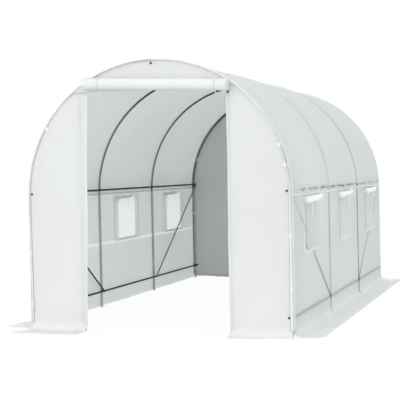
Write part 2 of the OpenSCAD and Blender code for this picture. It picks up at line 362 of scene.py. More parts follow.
def film_weave(tree):
    """The weave's height and the mark of its thick tapes, from the UV map in metres:
    a product of two sine waves, and a line wherever a coordinate nears a multiple
    of the tapes' distance."""
    uv = add(tree, "ShaderNodeUVMap", uv_map="metres")
    split = add(tree, "ShaderNodeSeparateXYZ", {0: uv})
    waves, lines = [], []
    for axis in (0, 1):
        run = split.outputs[axis]
        angle = add(tree, "ShaderNodeMath", {0: run, 1: 2 * np.pi / TAPE}, operation="MULTIPLY")
        waves.append(add(tree, "ShaderNodeMath", {0: angle}, operation="SINE"))
        near = add(tree, "ShaderNodeMath", {0: run, 1: RIPSTOP / 2}, operation="PINGPONG")
        limits = {"Value": near, "From Min": 0.001, "From Max": 0.003, "To Min": 1.0, "To Max": 0.0}
        lines.append(add(tree, "ShaderNodeMapRange", limits, interpolation_type="SMOOTHSTEP"))
    weave = add(tree, "ShaderNodeMath", {0: waves[0], 1: waves[1]}, operation="MULTIPLY")
    marks = add(tree, "ShaderNodeMath", {0: lines[0], 1: lines[1]}, operation="MAXIMUM")
    return add(tree, "ShaderNodeMath", {0: marks, 1: weave}, operation="ADD"), marks


def film_material(name, face, line, paints_tube_shade=False, through=0.55):
    """Coated woven tape: face and line are its colours, through the share of the
    light that it lets pass, and paints_tube_shade says if it gets the tubes' painted
    shade. The colour is the weave's, times a soft cloud, times the painted shade of
    the tubes behind. Then a coated surface and one that glows through are mixed,
    with more of the second at a weld."""
    material, tree, out = new_material(name)
    height, marks = film_weave(tree)
    place = add(tree, "ShaderNodeTexCoord").outputs["Object"]
    cloud = add(tree, "ShaderNodeTexNoise", {"Vector": place, "Scale": 1.7, "Detail": 3.0})
    milky = add(tree, "ShaderNodeMapRange", {"Value": cloud, "To Min": 0.965, "To Max": 1.02})
    tapes = {0: marks, 6: srgb(face), 7: srgb(line)}
    colour = add(tree, "ShaderNodeMix", tapes, data_type="RGBA").outputs[2]
    colour = add(tree, "ShaderNodeVectorMath", {0: colour, "Scale": milky}, operation="SCALE")
    # Painted shade: the colour darkens by the shade attribute where tubes stand behind the film
    if paints_tube_shade:
        shade = add(tree, "ShaderNodeAttribute", attribute_name="shade").outputs["Fac"]
        tubes = {0: shade, 6: srgb("ffffff"), 7: srgb(TUBE_PAINTED_SHADE)}
        dark = add(tree, "ShaderNodeMix", tubes, data_type="RGBA").outputs[2]
        colour = add(tree, "ShaderNodeVectorMath", {0: colour, 1: dark}, operation="MULTIPLY")
    relief = {"Strength": WEAVE_STRENGTH, "Distance": WEAVE_RELIEF, "Height": height}
    normal = add(tree, "ShaderNodeBump", relief)
    face_values = {"Base Color": colour, "Roughness": 0.5, "IOR": 1.5, "Normal": normal}
    coat = add(tree, "ShaderNodeBsdfPrincipled", face_values)
    glow = add(tree, "ShaderNodeBsdfTranslucent", {"Color": colour, "Normal": normal})
    weld = add(tree, "ShaderNodeAttribute", attribute_name="weld").outputs["Fac"]
    clear = add(tree, "ShaderNodeMapRange", {"Value": weld, "To Min": through, "To Max": 0.97})
    film = add(tree, "ShaderNodeMixShader", {0: clear, 1: coat, 2: glow})
    tree.links.new(film.outputs[0], out.inputs[0])
    return material


film_outside = film_material("woven_film_outside", "f1f4f4", "f5f7f7", True)
film_inside = film_material("woven_film_inside", "f3f6f6", "f7f9f9", through=0.58)
wall_outside = film_material("woven_film_wall", "f2f5f5", "f6f8f8", True, through=0.62)
wall_inside = film_material("woven_film_wall_inside", "f4f6f6", "f7f9f9", through=0.64)
# The back's inner face: a greyer colour as painted shade, and it passes little light
back_inside_painted_shade = film_material("woven_film_back_painted_shade", "d1d6d4", "d9dedc", through=0.2)
hem_film = film_material("doubled_film_hem", "f5f6f6", "f8f8f8", through=0.3)
end_outside = film_material("woven_film_ends", "f3f3f3", "f5f5f5", through=0.5)
band_film = film_material("woven_film_band", "f1f3f3", "f4f5f5", True, through=0.25)
roll_film = film_material("woven_film_rolled", "f5f7f7", "f8f9f9", through=0.35)
flap_film = film_material("woven_film_flap", "fdfdfe", "fdfefe", through=0.12)
strip_film = film_material("welded_film_strip", "fdfefe", "fefefe", through=0.3)

# %% [markdown]
# ### Piping, ties and clips
#
# Where sheets meet they are welded over a soft plastic bead, the ties are
# polypropylene webbing, and the clips are moulded. All are denser than the film,
# so nothing glows through them, and a fine grain takes the shine off. The index
# of refraction of polypropylene is 1.49.

# %% Piping, webbing and clips
def plain_plastic(name, colour, roughness, grain_size):
    """A dense plastic with a fine grain of the given size in metres: it is raised a
    little, and up to 7 percent darker."""
    material, tree, out = new_material(name)
    place = add(tree, "ShaderNodeTexCoord").outputs["Object"]
    pattern = {"Vector": place, "Scale": 1 / grain_size, "Detail": 2.0}
    grain = add(tree, "ShaderNodeTexNoise", pattern)
    darker = tuple(0.93 * c for c in srgb(colour)[:3]) + (1.0,)
    tones = {0: grain, 6: srgb(colour), 7: darker}
    mixed = add(tree, "ShaderNodeMix", tones, data_type="RGBA").outputs[2]
    normal = add(tree, "ShaderNodeBump", {"Strength": 0.3, "Distance": 0.0005, "Height": grain})
    values = {"Base Color": mixed, "Roughness": roughness, "IOR": 1.49, "Normal": normal}
    body = add(tree, "ShaderNodeBsdfPrincipled", values)
    tree.links.new(body.outputs[0], out.inputs[0])
    return material


piping_white = plain_plastic("welded_piping", "f4f7f7", 0.45, 0.004)
webbing_white = plain_plastic("polypropylene_webbing", "fafbfb", 0.6, 0.0025)
clip_white = plain_plastic("moulded_clip", "eceeee", 0.45, 0.006)

# %% [markdown]
# ### Net thread
#
# The net is knitted from fine polyester yarn. Yarn is loose and thin, so two
# fifths of the light go through it, and a window looks bright from the inside
# and close to the film's own tone from the outside. Polyester's index of
# refraction is 1.57.

# %% Net thread
def yarn_material(name, colour, through):
    """Loose white yarn: a rough surface mixed with light that comes through."""
    material, tree, out = new_material(name)
    values = {"Base Color": srgb(colour), "Roughness": 0.7, "IOR": 1.57}
    matt = add(tree, "ShaderNodeBsdfPrincipled", values)
    glow = add(tree, "ShaderNodeBsdfTranslucent", {"Color": srgb(colour)})
    yarn = add(tree, "ShaderNodeMixShader", {0: through, 1: matt, 2: glow})
    tree.links.new(yarn.outputs[0], out.inputs[0])
    return material


net_thread = yarn_material("polyester_net_yarn", "fbfdfe", 0.4)

# %% [markdown]
# ### Tube steel
#
# The legs and posts are galvanised: dipped in zinc, which sets in pale and dark
# flakes called spangle, some 12 mm across. The purlins and braces are thinner and
# darker, a zinc finish dulled almost to black. The hoops are thinner as well, and
# are near black at the crown, painted shade for a bent tube that shows only its
# shaded side there; down to the shoulder they turn paler, which is painted light.
# The braces at the back are paler, and those at the front are black. All are
# covered by grey oxide or paint, so they are only partly metallic, and handling
# leaves soft patches some 110 mm across.

# %% Tube steel
# Heights over which the hoops' painted shade gives way to a paler painted light
PAINTED_LIGHT_FROM, PAINTED_LIGHT_BELOW = 1.90, 1.50


def tube_material(name, pale, dark, metallic, roughness, flake, painted_light_tone=None):
    """Zinc-coated tube: flakes of the given size between a pale and a dark tone, as
    far as soft patches let them, which are also rougher. worn is a paler tone that
    takes over evenly from PAINTED_LIGHT_FROM down to PAINTED_LIGHT_BELOW: painted light below, with
    the base tones as painted shade above."""
    material, tree, out = new_material(name)
    place = add(tree, "ShaderNodeTexCoord").outputs["Object"]
    flakes = add(tree, "ShaderNodeTexVoronoi", {"Vector": place, "Scale": 1 / flake}).outputs["Color"]
    patches = add(tree, "ShaderNodeTexNoise", {"Vector": place, "Scale": 9.0, "Detail": 4.0})
    mixed = add(tree, "ShaderNodeMath", {0: flakes, 1: patches}, operation="MULTIPLY")
    tones = {0: mixed, 6: srgb(pale), 7: srgb(dark)}
    colour = add(tree, "ShaderNodeMix", tones, data_type="RGBA").outputs[2]
    if painted_light_tone:
        height = add(tree, "ShaderNodeSeparateXYZ", {0: place}).outputs["Z"]
        limits = {"Value": height, "From Min": PAINTED_LIGHT_FROM, "From Max": PAINTED_LIGHT_BELOW}
        tones = {0: add(tree, "ShaderNodeMapRange", limits), 6: colour, 7: srgb(painted_light_tone)}
        colour = add(tree, "ShaderNodeMix", tones, data_type="RGBA").outputs[2]
    limits = {"Value": patches, "To Min": roughness - 0.08, "To Max": roughness + 0.12}
    rough = add(tree, "ShaderNodeMapRange", limits)
    normal = add(tree, "ShaderNodeBump", {"Strength": 0.2, "Distance": 0.0003, "Height": patches})
    values = {"Base Color": colour, "Roughness": rough, "Metallic": metallic, "Normal": normal}
    body = add(tree, "ShaderNodeBsdfPrincipled", values)
    tree.links.new(body.outputs[0], out.inputs[0])
    return material


galvanised = tube_material("galvanised_steel", "b4bbbb", "919999", 0.45, 0.45, 0.012)
dull_zinc = tube_material("blackened_steel_tube", "1f2424", "101414", 0.35, 0.45, 0.010)
# Hoops: dark tones as painted shade at the crown, a paler painted light below 1.50 m
hoop_zinc_painted_shade = tube_material("zinc_hoop_tube_painted_shade", "272c2c", "171b1b", 0.35, 0.45, 0.010, painted_light_tone="7d8484")
front_brace = tube_material("painted_brace_tube", "101212", "090a0a", 0.2, 0.5, 0.010)
rear_brace = tube_material("dulled_brace_tube", "7d8484", "626969", 0.35, 0.45, 0.010)
bolt_steel = tube_material("zinc_plated_bolt", "5a6060", "3d4343", 0.8, 0.4, 0.006)

TUBE_STEEL = {
    "leg_": galvanised,
    "door_post": galvanised,
    "hoop_": hoop_zinc_painted_shade,
    "brace_front": front_brace,
    "brace_rear": rear_brace,
}
for node_name, node_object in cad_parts.items():
    steel = next((s for start, s in TUBE_STEEL.items() if node_name.startswith(start)), dull_zinc)
    node_object.data.materials.clear()
    node_object.data.materials.append(steel)
print("materials:", [m.name for m in bpy.data.materials])

# %% [markdown]
# ## The tubes' painted shade on the film
#
# Seen from outside, a tube behind milky film holds back the light that comes
# from inside, which leaves a soft dark line, sharp where the film touches the
# tube and faint where it stands off. That shade is painted: the functions here
# work out its darkness from a point's distance to the tube's middle line. Each
# arch has its own strength, front to back, because the film lies closer on
# some than on others. The painted shade is five times weaker on the left than
# on the right. A renderer finds such lines from the light as well, but the
# painted attribute sets how dark each one is.

# %% Show-through
BRACE_ENDS = ((arch_y[0], arch_y[1]), (arch_y[3], arch_y[2]))
# Strength of the painted shade of each leg and hoop, front to back, and of the low purlin
LEG_PAINTED_SHADE = (0.10, 0.43, 1.00, 0.25)
HOOP_PAINTED_SHADE = (0.05, 0.19, 0.62, 0.08)
PURLIN_PAINTED_SHADE = 0.36
# Share of the painted shade on the left and on the right side
SIDE_SHADE_SHARE = {-1: 0.2, 1: 1.0}
TUBE_BLUR, BRACE_BLUR, PURLIN_BLUR, DASH_BLUR = 0.018, 0.013, 0.010, 0.008


def segment_distance(y, z, a, b):
    """Distance in the wall's plane from (y, z) to the straight line from a to b,
    and how far along that line the nearest point lies, from 0 to 1."""
    a, b = np.array(a), np.array(b)
    along = b - a
    t = ((y - a[0]) * along[0] + (z - a[1]) * along[1]) / (along @ along)
    t = np.clip(t, 0, 1)
    return np.hypot(y - a[0] - t * along[0], z - a[1] - t * along[1]), t


def arch_shade(y, girth, seen, seed):
    """Painted shade of the four arches behind a sheet, each as dark as seen says,
    broken by soft contact.
    """
    total = 0
    for i, (line, strength) in enumerate(zip(arch_y, seen)):
        shade_share = 0.8 + 0.2 * ripple(girth, girth * 0, 0.35, seed + i)
        total = total + strength * shade_share * bell(y - line, TUBE_BLUR)
    return total


def wall_shade(y, z, seed):
    """Painted shade of the legs, braces and the low purlin behind a side wall. A
    brace runs from the middle purlin at the outer arch to the low purlin at the
    next one, and its painted shade is darker the lower it is."""
    total = arch_shade(y, z, LEG_PAINTED_SHADE, seed)
    for outer, inner in BRACE_ENDS:
        distance, t = segment_distance(y, z, (outer, mid_purlin[2]), (inner, low_purlin[2]))
        total = total + (0.08 + 0.55 * t) * bell(distance, BRACE_BLUR)
    return total + PURLIN_PAINTED_SHADE * bell(z - low_purlin[2], PURLIN_BLUR)


def purlin_dashes(y, z, seed):
    """Painted shade of the middle purlin behind puckered film: dark dashes that come and go."""
    drift = 0.006 * ripple(y, y * 0, 0.12, seed)
    blobs = np.clip(0.45 + 1.3 * ripple(y, y * 0, 0.08, seed + 1), 0, 1)
    ends = np.clip((y - arch_y[0] - 0.2) / 0.12, 0, 1)
    return 0.8 * blobs * ends * bell(z - mid_purlin[2] - drift, DASH_BLUR)


leg_tones = arch_shade(np.array(arch_y), 0.5, LEG_PAINTED_SHADE, 40)
print("darkness over the four right legs at 0.5 m:", np.round(leg_tones, 2))

# %% [markdown]
# ## The side walls
#
# A side wall hangs from the seam under the middle purlin, runs down past the
# legs and bends out into a skirt on the ground. It could be a cloth
# simulation, but the film is stiff and stretched, so a formula is closer: a
# profile carried along the tunnel, pushed in a little between the arches,
# with ripples that grow towards the loose edge of the skirt.

# %% The walls' shape
WALL_SEED = {-1: 9, 1: 31}
WALL_SAG, WALL_RIPPLE, WALL_PUCKER = 0.005, 0.0035, 0.0022


def foot_profile(s, height, bend, reach):
    """Distance out and height of a sheet at girth s from its top: straight down
    from the given height, round a quarter circle of radius bend, then out flat."""
    drop = height - bend
    arc = np.clip((s - drop) / bend, 0, np.pi / 2)
    flat = np.clip(s - drop - bend * np.pi / 2, 0, None)
    out = bend * (1 - np.cos(arc)) + flat
    up = height - np.minimum(s, drop) - bend * np.sin(arc)
    return np.minimum(out, reach), up


def bay_share(y):
    """0 at every arch and 1 in the middle of every bay: a sine squared."""
    return np.sin(np.pi * (y - arch_y[0]) / bay) ** 2


def wall_push(y, z, seed):
    """How far a wall stands out from its plane: drawn in between the arches, with
    long soft ripples and short puckers close under the seam, and nearly flat where
    a window's hem holds it."""
    inward = -WALL_SAG * bay_share(y) * np.clip((upper_seam - z) / 0.25, 0, 1)
    soft = WALL_RIPPLE * ripple(y, z, 0.45, seed, stretch=(0.7, 1.6))
    pucker = WALL_PUCKER * ripple(y, z, 0.07, seed + 1, stretch=(1, 3)) * bell(upper_seam - z, 0.09)
    fade = 0.35 + 0.65 * bay_share(y)
    beside = np.min([np.abs(y - c) for c in bay_y], axis=0) - panel_w / 2
    free = np.clip(np.maximum(beside / 0.08, (lower_seam - z) / 0.10), 0.12, 1)
    return (inward + (soft + pucker) * fade) * free


print(f"film is drawn in by {1000 * WALL_SAG:.0f} mm in the middle of a bay")

# %% [markdown]
# The two sides of a real cover never hang alike. Each has its own ripples, the
# right one turns out into its skirt more gently, and the left one's seam came
# out clearer. A row of the grid lies on every edge of a window, so that the cut
# is straight, and the rows are closest at the two seams.

# %% Side walls
FOOT_BEND = {-1: 0.022, 1: 0.052}
WELD_CLEAR = {-1: 1.0, 1: 0.3}
SKIRT_WAVE, SKIRT_LIFT, SKIRT_CURL = 0.006, 0.004, 0.012
FINE_STEP, WALL_STEP, LONG_STEP = 0.005, 0.0125, 0.0145


def window_breaks():
    """The lengthwise places of all window edges, from front to back."""
    return [edge for y in bay_y for edge in (y - window_w / 2, y + window_w / 2)]


def wall_marks(s, y, out, sign):
    """The painted shade of the tubes behind a wall and the clear lines of its two
    seams, at girth s below the upper seam."""
    height = upper_seam - np.minimum(s, upper_seam)
    # Painted shade of the tubes, fading where the skirt leaves the legs
    shade = SIDE_SHADE_SHARE[sign] * wall_shade(y, height, WALL_SEED[sign] + 9) * bell(out, 0.018)
    low_weld = bell(height - lower_seam + 0.006, 0.009)
    return shade, (low_weld + 0.3 * bell(upper_seam - 0.008 - height, 0.007)) * WELD_CLEAR[sign]


def window_cells(s, y):
    """Which cells of a wall's grid lie in a window's cut, from their middles."""
    gap_y = (y[:-1, :-1] + y[1:, 1:]) / 2
    gap_z = upper_seam - (s[:-1, :-1] + s[1:, 1:]) / 2
    in_height = (gap_z > cut_z[0]) & (gap_z < cut_z[1])
    return in_height & np.any([np.abs(gap_y - c) < window_w / 2 for c in bay_y], axis=0)


def side_sheet(side_name, sign, seed):
    """One side of the cover, from the upper seam to the edge of the skirt."""
    reach = skirt_edge - skin
    bend = FOOT_BEND[sign]
    heights = np.array([upper_seam, *cut_z[::-1], lower_seam - 0.012, bend])
    girth = upper_seam - bend + bend * np.pi / 2 + reach - bend
    breaks = [*(upper_seam - heights), girth - reach + bend, girth]
    s = stations(breaks, (FINE_STEP, WALL_STEP, FINE_STEP, WALL_STEP, WALL_STEP, WALL_STEP))
    y = stations([-end_out] + window_breaks() + [end_out], LONG_STEP)
    s, y = np.meshgrid(s, y, indexing="ij")
    out, z = foot_profile(s, upper_seam, bend, reach)
    loose = np.clip((bend * 1.4 - z) / (bend * 1.4), 0, 1) * np.clip(out / reach * 3, 0, 1)
    tip = np.clip(out / reach, 0, 1)
    wave = ripple(y, s * 0, 0.38, seed + 5) + 0.5 * ripple(y, s, 0.12, seed + 6)
    x = skin + out + wall_push(y, z, seed) * (1 - tip) + SKIRT_WAVE * tip * wave
    z = z + loose * (SKIRT_LIFT + SKIRT_WAVE * np.clip(wave, -0.4, 1)) + FILM_T
    end_curl = np.clip(1 - (end_out - np.abs(y)) / 0.10, 0, 1) ** 2
    z = z + SKIRT_CURL * end_curl * tip * (0.6 + 0.4 * wave)
    shade, weld = wall_marks(s, y, out, sign)
    sheet = grid_piece(
        f"side_sheet_{side_name}",
        np.stack([sign * x, y, z], axis=-1),
        keep=~window_cells(s, y),
        flip=sign < 0,
        uv=np.stack([s, y], axis=-1),
        shade=shade,
        weld=weld,
    )
    two_faced(sheet, wall_outside, wall_inside)
    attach(sheet, "root")
    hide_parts(f"window_band_{side_name}", f"lower_wall_{side_name}", f"skirt_{side_name}")


for name, sign in SIDES.items():
    side_sheet(name, sign, WALL_SEED[sign])

# %% [markdown]
# ## The roof
#
# The roof sheet runs over the hoops from seam to seam. Film between two hoops
# can't hold a cylinder's shape: the pull along the tunnel draws it in, so each
# bay is a shallow saddle. Folding the sheet over the middle purlins leaves a
# row of small puckers there.

# %% Roof
ROOF_SAG, ROOF_RIPPLE, ROOF_PUCKER = 0.009, 0.0028, 0.0026
ROOF_STEP, NEAR_STEP, SEAM_ROWS = 0.0175, 0.0075, 0.0065
PUCKERED = 0.10


def roof_sheet(seed):
    """The roof: girth runs from the right seam over the hoops to the left seam."""
    marks = arch_marks(skin - arch_r, upper_seam)
    breaks = [0, marks[1], PUCKERED, marks[2], marks[3], marks[-1] - PUCKERED, marks[4], marks[-1]]
    wide = [ROOF_STEP] * 3
    s = stations(breaks, (SEAM_ROWS, NEAR_STEP, *wide, NEAR_STEP, SEAM_ROWS))
    y = stations([-end_out] + arch_y + [end_out], ROOF_STEP)
    s, y = np.meshgrid(s, y, indexing="ij")
    x, z, out_x, high = arch_line(s, skin - arch_r, upper_seam)
    left_push, right_push = (wall_push(y, upper_seam, WALL_SEED[side]) for side in (-1, 1))
    seam_push = np.where(x > 0, right_push, left_push)
    low_down = bell(high, 0.16)
    pucker = ROOF_PUCKER * ripple(y, s, 0.055, seed, stretch=(1, 2.2)) * bell(high - 0.02, 0.07)
    saddle = -ROOF_SAG * bay_share(y) * np.clip(high * 3, 0, 1)
    soft = ROOF_RIPPLE * ripple(y, s, 0.5, seed + 1, stretch=(0.8, 1.3)) * (0.3 + 0.7 * bay_share(y))
    push = low_down * seam_push + (1 - low_down) * soft + pucker + saddle
    x, z = x + out_x * push, z + high * push
    points = np.stack([x, y, z + FILM_T], axis=-1)
    # Painted shade of the hoops, weaker on the left, of the ridge purlin and of the middle purlins' dashes
    shade_share = SIDE_SHADE_SHARE[-1] + (SIDE_SHADE_SHARE[1] - SIDE_SHADE_SHARE[-1]) * np.clip(0.5 + x / 0.4, 0, 1)
    shade = shade_share * arch_shade(y, s, HOOP_PAINTED_SHADE, seed + 3) + 0.05 * bell(x, 0.02) * (z > spring_z)
    shade = shade + np.where(x > 0, purlin_dashes(y, z, seed + 5), purlin_dashes(y, z, seed + 8))
    sheet = grid_piece("roof_sheet", points, flip=True, shade=shade, uv=np.stack([s, y], axis=-1))
    two_faced(sheet, film_outside, film_inside)
    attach(sheet, "root")
    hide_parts("roof_left", "roof_crown", "roof_right")


roof_sheet(57)

# %% [markdown]
# ## The ends
#
# The front has two panels beside the doorway and a round top over it. The back
# is one closed sheet. All four are flat sheets whose outer edge follows the
# arch, so a row at height z runs from the doorway, or from the far side, to the
# arch's half width at that height. At the foot they spread out into a hem.

# %% The ends' outline and folds
edge_gap = film_in - 0.0003 - arch_r
edge_r = arch_r + edge_gap
front_y = end_out - HALF_COVER
crown_z = hoop_top + edge_gap
hem_reach = hem_edge - front_y
FOLD, CREASE = 0.0035, 0.0010


def panel_push(x, z, seed):
    """Loose folds of an end panel: tall soft waves that run from top to bottom. The
    posts lie close behind, so a fold only ever stands out."""
    tall = FOLD * ripple(x, z, 0.30, seed, stretch=(0.8, 2.6))
    fine = CREASE * ripple(x, z, 0.08, seed + 1, stretch=(1, 2.0))
    return np.maximum(FOLD + tall + fine, 0)


def door_edge(z, inner, top, seed):
    """Distance from the middle of a panel's edge beside the doorway at height z: a
    straight line from foot to head, and a slow sway that dies out at the top."""
    foot, head = inner
    sway = 0.004 * ripple(z, z * 0, 0.7, seed + 2) * np.clip((top - z) / 0.4, 0, 1)
    return foot + (head - foot) * z / top + sway


def spread_foot(s, t, top, near, far):
    """Distance out and height of a sheet whose hem reaches near at t = 0 and far at
    t = 1: the wider of the two is laid out, and drawn in evenly to the other."""
    out, z = foot_profile(s, top, END_BEND, max(near, far))
    share = (near + (far - near) * t - END_BEND) / (max(near, far) - END_BEND)
    return np.where(out > END_BEND, END_BEND + (out - END_BEND) * share, out), z


def outline_area(z0, z1, inner):
    """Area between the arch's outline and the line x = inner, from z0 to z1, as a sum
    of thin strips, doubled for a sheet that spans both sides."""
    z = np.linspace(z0, z1, 400)
    half = np.clip(arch_half(z, edge_gap) - (inner or 0), 0, None)
    return half.mean() * (z1 - z0) * (2 if inner is None else 1)


print(f"a whole end without its hem has {outline_area(0, crown_z, None):.2f} square metres")

# %% [markdown]
# One function makes all four sheets, because they differ only in where they
# start and end. A panel is held at its outer edge and at the header, and hangs
# free along the doorway. The top is sewn on over the panels with a small lap.

# %% End sheets
SEAM_LAP = 0.014
SEAM_STEP = 0.0025
END_STEP = 0.0135
HEM_WAVE, HEM_SPREAD = 0.008, 0.05


def end_sheet(name, top, bottom, inner, node, end, seed, flat_area, side=1, reach=None, inside=None):
    """A sheet in an end's plane. inner gives the distances from the middle at which
    its foot and its top start, or None for a sheet that spans the whole width.
    bottom is its lowest height, or 0 for one with a hem that spreads on the ground,
    and reach how far that hem spreads beside the doorway and at the corner."""
    hem = bottom == 0
    near, far = reach or (hem_reach, hem_reach)
    girth = top - bottom
    if hem:
        girth = top - END_BEND + END_BEND * np.pi / 2 + max(near, far) - END_BEND
    s = stations([0, top - END_BEND, girth] if hem else [0, girth], END_STEP)
    foot = inner[0] if inner else 0
    width = arch_r - foot if inner else 2 * arch_r
    t = np.linspace(0, 1, int(width / END_STEP) + 1)
    s, t = np.meshgrid(s, t, indexing="ij")
    out, z = 0 * s, top - s
    if hem:
        out, z = spread_foot(s, t, top, near, far)
    tip = np.clip(out / max(near, far), 0, 1)
    edge = arch_half(z, edge_gap) + HEM_SPREAD * tip**1.5
    if inner:
        start = door_edge(z, inner, top, seed)
        x = side * (start + t * (edge - start))
        hold = 1 - t**8
    else:
        x = (2 * t - 1) * edge
        hold = 1 - np.abs(2 * t - 1) ** 8
    hold = hold * np.clip((top - z) / 0.15, 0.1, 1)
    wave = ripple(x, s * 0, 0.34, seed + 5) + 0.5 * ripple(x, s, 0.11, seed + 6)
    y = -(front_y + out + panel_push(x, z, seed) * hold * (1 - tip) + HEM_WAVE * tip * wave)
    if not hem:
        y = y - SEAM_STEP * bell(z - bottom, 0.05)
    lift = np.clip(out / hem_reach * 3, 0, 1) * (SKIRT_LIFT + SKIRT_WAVE * np.clip(wave, -0.4, 1))
    z = z + lift + FILM_T
    points = np.stack([-end * x, -end * y, z], axis=-1)
    sheet = grid_piece(name, points, flip=side < 0, uv=np.stack([x, s], axis=-1))
    two_faced(sheet, end_outside, inside or film_inside)
    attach(sheet, "root")
    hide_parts(node)


top_z = crown_z - 0.004
panel_top = header_z + SEAM_LAP
PANELS = {
    "right": {"inner": (jamb_x + 0.004, jamb_x + 0.011), "reach": (0.108, 0.066), "seed": 71},
    "left": {"inner": (jamb_x - 0.004, jamb_x - 0.043), "reach": (0.196, 0.226), "seed": 83},
}
for name, sign in SIDES.items():
    panel = PANELS[name]
    hem_area = sum(panel["reach"]) / 2 + END_BEND * (np.pi / 2 - 1)
    panel_area = outline_area(END_BEND, panel_top, panel["inner"][0])
    panel_area = panel_area + (edge_r - jamb_x + 0.02) * hem_area
    end_sheet(
        f"front_sheet_{name}",
        top=panel_top,
        bottom=0,
        node=f"front_panel_{name}",
        end=-1,
        flat_area=panel_area,
        side=sign,
        **panel,
    )
top_area = outline_area(header_z - SEAM_LAP, top_z, None)
end_sheet("front_top_sheet", top_z, header_z - SEAM_LAP, None, "front_gable_top", -1, 91, top_area)
hem_area = hem_reach + END_BEND * (np.pi / 2 - 1)
rear_area = outline_area(END_BEND, top_z, None) + 2 * (edge_r + 0.02) * hem_area
end_sheet("rear_sheet", top_z, 0, None, "rear_gable", 1, 97, rear_area, inside=back_inside_painted_shade)

# %% [markdown]
# ## The edge band and its piping
#
# At both ends the cover is turned round the arch tube and welded to the end
# sheet. That leaves a band on the end, 24 mm wide at the feet and narrower above,
# and one on the roof with a thin bead of piping along it. It is one profile carried
# along the arch's outline. The tube inside the fold and the band's own edge are
# drawn on it as fine dark lines of painted shade.

# %% Edge band and piping
BAND = 0.024
ROOF_SIDE = 0.040
BEAD = 0.0020
BAND_T = 0.0008
CORNER = 0.010
BAND_FOOT = 0.035


def band_share(z):
    """How much of its full width the band shows on the end at height z: it is broad
    at the feet and narrows evenly to a third at the top."""
    return np.clip(1.1 - 0.45 * z, 0.3, 1)


def along_arch(name, section, foot, end, ring, material):
    """Carries a section of (outward, lengthwise) points along the arch's outline,
    with outward counted from the cover's inner face. Its painted shade is a dark
    line for the tube inside the fold, dark all along the left and mainly at 1.2 m on
    the right, and a dark line at the band's own edge below 1.6 m."""
    s = stations(arch_marks(skin - arch_r, foot), 0.02)[::-1]
    x, z, nx, nz = arch_line(s, skin - arch_r, foot)
    out, length = np.array(section).T
    out = out * np.where(out < 0, band_share(z)[:, None], 1)
    points = np.stack(
        [
            x[:, None] + nx[:, None] * out,
            np.broadcast_to(end * length, out.shape),
            z[:, None] + nz[:, None] * out,
        ],
        axis=-1,
    )
    uv = np.stack(np.broadcast_arrays(s[:, None], out), -1)
    # Painted shade: a dark line at the fold's corner over the tube, and one at the band's edge
    near = bell(np.hypot(out + 0.002, length - end_out + 0.003), 0.006)
    dark = np.where(x < 0, 0.75, 0.15 + 0.5 * bell(z - 1.2, 0.25))
    shade = (dark * (0.8 + 0.2 * ripple(s, s * 0, 0.25, 17)))[:, None] * near
    low_down = 0.6 * np.clip(1.6 - z, 0, 1)[:, None]
    shade = shade + low_down * bell(out + BAND * band_share(z)[:, None], 0.003)
    piece = grid_piece(name, points, flip=end > 0, ring=ring, caps=ring, uv=uv, shade=shade)
    piece.data.materials.append(material)
    return piece


def circle_section(out, length, radius, sides=8):
    """A round section of the given radius, centred at (out, length)."""
    a = 2 * np.pi * np.arange(sides) / sides
    return np.stack([out + radius * np.cos(a), length + radius * np.sin(a)], axis=-1)


def edge_band(end, name):
    """The turned-over band: from the roof round the corner and down the end."""
    turn = np.linspace(0, np.pi / 2, 9)
    roof_part = [(0.0012, end_out - ROOF_SIDE), (0.0016, end_out - CORNER)]
    round_part = (0.0016 - CORNER * (1 - np.cos(turn)), end_out - CORNER + CORNER * np.sin(turn) + 0.001)
    end_part = [(-BAND * 0.75, end_out + 0.0018), (-BAND, end_out + 0.0010)]
    section = np.concatenate([roof_part, np.stack(round_part, axis=-1), end_part])
    band = along_arch(name, section, BAND_FOOT, end, False, band_film)
    thicken(band, BAND_T)
    bead = circle_section(0.002, end_out - ROOF_SIDE, BEAD)
    piping = along_arch(name + "_piping", bead, BAND_FOOT, end, True, piping_white)
    for piece in (band, piping):
        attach(piece, "root")
        print(piece.name, len(piece.data.polygons), "faces")


edge_band(-1, "front_band")
edge_band(1, "rear_band")

# %% [markdown]
# ## Seam tapes
#
# The upper seam is covered by a strip of white tape on the outside, which also
# holds the window flaps. A flat curve with a bevel would make it too, but the
# tape has to follow the wall's wave, so it is worked out from the wall's formula.

# %% Seam tapes
TAPE_W, TAPE_LIFT = 0.012, 0.0010


def seam_tape(side_name, sign):
    """A flat strip along a wall's upper seam, on its outer face."""
    y = stations([-end_out + 0.01, end_out - 0.01], 0.02)
    half, z = TAPE_W / 2, upper_seam + 0.006
    across = np.array([(0.0004, -half), (0.0004, half), (-0.0004, half), (-0.0004, -half)])
    x = sign * (skin + wall_push(y, upper_seam, WALL_SEED[sign]) + TAPE_LIFT)[:, None]
    points = np.stack(np.broadcast_arrays(x + sign * across[:, 0], y[:, None], z + across[:, 1]), axis=-1)
    uv = np.stack(np.broadcast_arrays(np.arange(4) * 0.01, y[:, None]), -1)
    tape = grid_piece(f"seam_tape_{side_name}", points, ring=True, caps=True, flip=sign > 0, uv=uv)
    tape.data.materials.append(strip_film)
    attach(tape, "root")
    print(tape.name, len(y), "rows along the wall")


for name, sign in SIDES.items():
    seam_tape(name, sign)

# %% [markdown]
# ## Windows
#
# A window is an opening in the film with insect net over it from outside. The
# net ends 5 mm past the opening. Strips of tape frame it at both sides and at
# its foot, and a flap of film is rolled up over its top edge. The threads are
# 1.8 mm apart and 0.3 mm wide, which leaves holes of 1.5 mm as on a real net.
# Seen along the wall they close up to a pale veil, and from inside the light
# comes through. Holes could be a pattern in a material, but threads have edges
# for the light to catch, and as thin boxes they cost twelve triangles each.

